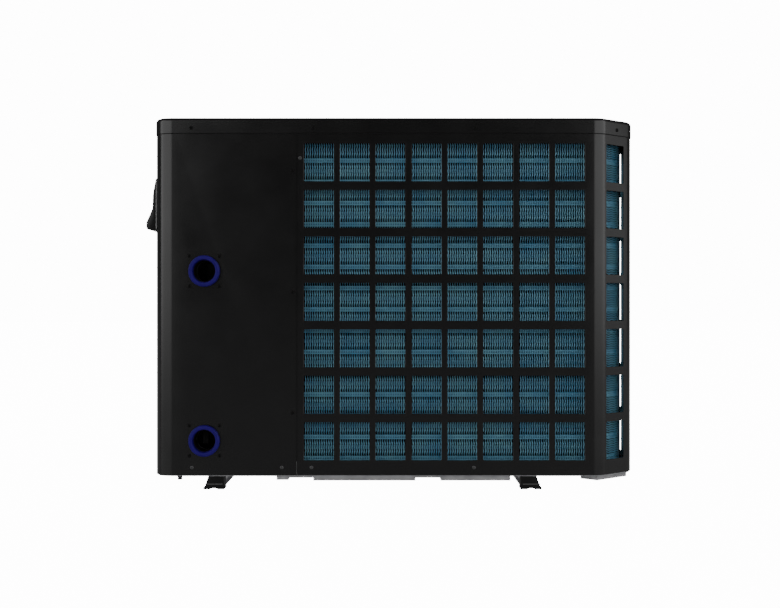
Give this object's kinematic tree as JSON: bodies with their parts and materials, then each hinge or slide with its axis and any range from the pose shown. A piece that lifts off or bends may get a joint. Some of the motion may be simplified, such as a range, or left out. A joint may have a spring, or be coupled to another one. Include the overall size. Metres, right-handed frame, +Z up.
{
  "type": "pool heat pump unit",
  "caption": "Upright air-source pool heat pump: folded black casing, wrapped finned coil behind a window grille, front fan, and two ringed water connections on the back.",
  "frame": {"origin": "bottom centre of the whole unit's box, on the ground under the feet", "axes": "+Z up, +Y out of the back with the grille and water connections, -Y out of the fan, +X towards the water side"},
  "size_m": [1.1446, 0.482, 0.8605],
  "materials": {
    "casing_black": "satin powder coat",
    "galvanised": "zinc coated",
    "grey_steel": "matt zinc grey",
    "foot_rubber": "matt moulded",
    "handle_plastic": "fine moulded grain",
    "coil_blue": "blue hydrophilic coating",
    "fan_plastic": "matt moulded",
    "guard_black": "satin coating",
    "motor_steel": "dark grey paint",
    "shaft_steel": "turned",
    "copper": "drawn copper",
    "brass": "machined",
    "compressor_black": "gloss black paint",
    "titanium": "drawn titanium",
    "exchanger_grey": "moulded",
    "ring_blue": "deep blue moulded",
    "pipe_black": "moulded",
    "board_green": "lacquered board",
    "aluminium": "extruded",
    "cream_plastic": "moulded",
    "cover_smoke": "smoked clear plastic",
    "button_grey": "soft moulded"
  },
  "bodies": {
    "root": {"base_pan": "grey_steel", "foot_rail_service": "grey_steel", "foot_rail_coil": "grey_steel", "rubber_foot_service_rear": "foot_rubber", "rubber_foot_service_front": "foot_rubber", "rubber_foot_coil_rear": "foot_rubber", "rubber_foot_coil_front": "foot_rubber", "drain_nipple": "pipe_black", "service_side_panel": "casing_black", "rear_coil_panel": "casing_black", "front_fan_panel": "casing_black", "front_service_panel": "casing_black", "top_lid": "casing_black", "divider_panel": "galvanised", "side_handle": "handle_plastic", "cable_gland": "pipe_black", "evaporator_coil": "coil_blue", "coil_end_plate_service": "galvanised", "coil_end_plate_front": "galvanised", "fan_shroud": "fan_plastic", "fan_guard": "guard_black", "fan_motor_bracket": "galvanised", "fan_motor": "motor_steel", "compressor_shell": "compressor_black", "compressor_terminal_cover": "compressor_black", "compressor_grommet_1": "foot_rubber", "compressor_grommet_2": "foot_rubber", "compressor_grommet_3": "foot_rubber", "suction_accumulator": "compressor_black", "reversing_valve": "brass", "reversing_valve_solenoid": "pipe_black", "expansion_valve": "brass", "discharge_pipe": "copper", "suction_pipe": "copper", "coil_gas_pipe": "copper", "exchanger_gas_pipe": "copper", "liquid_pipe": "copper", "coil_liquid_pipe": "copper", "exchanger_shell": "exchanger_grey", "titanium_coil": "titanium", "water_inlet_tailpiece": "pipe_black", "water_outlet_tailpiece": "pipe_black", "flow_switch_body": "cream_plastic", "electrical_box": "galvanised", "electrical_box_cover": "galvanised", "inverter_board": "board_green", "terminal_block": "cream_plastic", "heat_sink": "aluminium", "control_panel": "handle_plastic"},
    "fan": {"fan_impeller": "fan_plastic", "fan_shaft": "shaft_steel", "fan_nut": "shaft_steel"},
    "control_flap": {"control_cover": "cover_smoke"},
    "power_key": {"button_power": "button_grey"},
    "mode_key": {"button_mode": "button_grey"},
    "up_key": {"button_up": "button_grey"},
    "down_key": {"button_down": "button_grey"},
    "inlet_union": {"water_inlet_ring": "ring_blue"},
    "outlet_union": {"water_outlet_ring": "ring_blue"},
    "flow_paddle": {"flow_switch_paddle": "pipe_black"}
  },
  "joints": [
    {"name": "fan_spin", "type": "hinge", "parent": "root", "child": "fan", "pos_m": [-0.182, -0.163, 0.43], "axis": [0, 1, 0], "continuous": true},
    {"name": "control_flap_hinge", "type": "hinge", "parent": "root", "child": "control_flap", "pos_m": [0.372, -0.2149, 0.6117], "axis": [-1, 0, 0], "range_deg": [0, 110]},
    {"name": "power_key_press", "type": "slide", "parent": "root", "child": "power_key", "axis": [0, 1, 0], "range_m": [0, 0.001], "stiffness_N_per_m": 600},
    {"name": "mode_key_press", "type": "slide", "parent": "root", "child": "mode_key", "axis": [0, 1, 0], "range_m": [0, 0.001], "stiffness_N_per_m": 600},
    {"name": "up_key_press", "type": "slide", "parent": "root", "child": "up_key", "axis": [0, 1, 0], "range_m": [0, 0.001], "stiffness_N_per_m": 600},
    {"name": "down_key_press", "type": "slide", "parent": "root", "child": "down_key", "axis": [0, 1, 0], "range_m": [0, 0.001], "stiffness_N_per_m": 600},
    {"name": "inlet_union_turn", "type": "hinge", "parent": "root", "child": "inlet_union", "pos_m": [0.429, 0.234, 0.113], "axis": [0, 1, 0], "continuous": true},
    {"name": "outlet_union_turn", "type": "hinge", "parent": "root", "child": "outlet_union", "pos_m": [0.429, 0.234, 0.505], "axis": [0, 1, 0], "continuous": true},
    {"name": "flow_paddle_swing", "type": "hinge", "parent": "root", "child": "flow_paddle", "pos_m": [0.429, 0.203, 0.1385], "axis": [-1, 0, 0], "range_deg": [0, 20], "stiffness_Nm_per_rad": 0.02}
  ]
}
